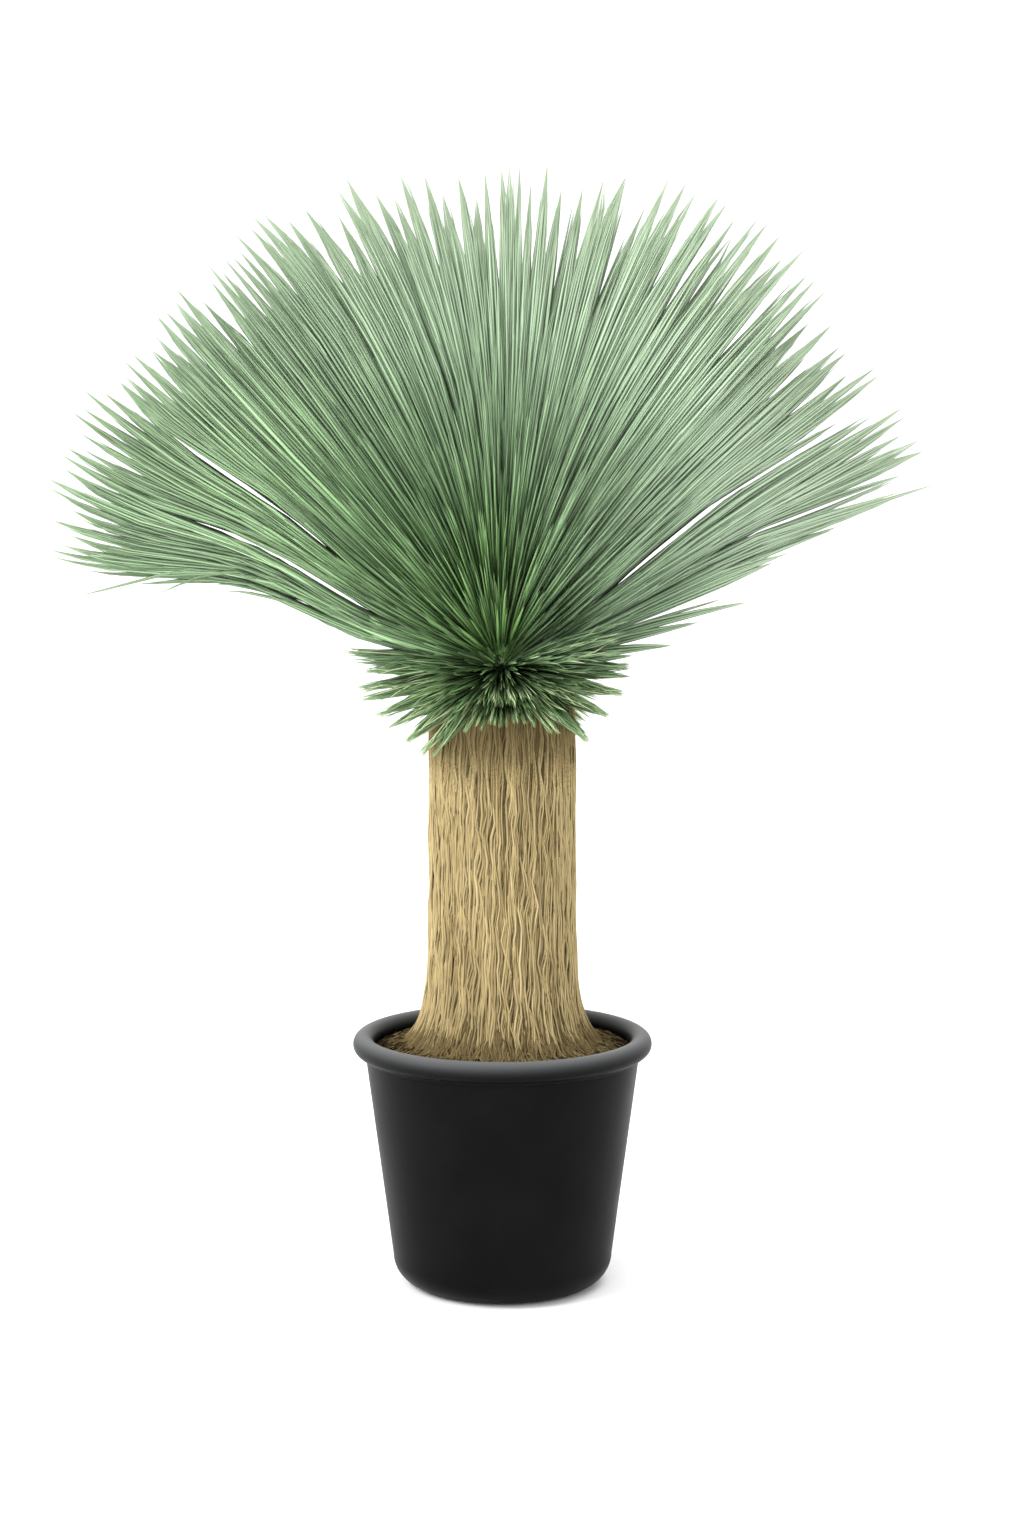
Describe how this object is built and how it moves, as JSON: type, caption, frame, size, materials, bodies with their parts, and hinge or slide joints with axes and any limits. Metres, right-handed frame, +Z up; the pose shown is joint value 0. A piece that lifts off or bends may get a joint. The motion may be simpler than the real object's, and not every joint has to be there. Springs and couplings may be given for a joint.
{
  "type": "potted yucca",
  "caption": "Beaked yucca with a fan-like dome of narrow sage leaves on a thick thatched trunk, in a round black nursery pot with a rolled rim.",
  "frame": {"origin": "centre of the pot's underside, on the floor", "axes": "+Z up along the trunk; -Y towards the viewer of the picture, the front of the fan of leaves; +X to the viewer's right"},
  "size_m": [0.9547, 0.6259, 1.1945],
  "materials": {
    "black_plastic": "satin",
    "bark_mix": "matte",
    "dry_thatch": "matte",
    "sage_leaf": "satin"
  },
  "bodies": {
    "root": {"pot": "black_plastic", "potting_mix": "bark_mix", "trunk": "dry_thatch", "leaf_head": "sage_leaf"}
  },
  "joints": []
}
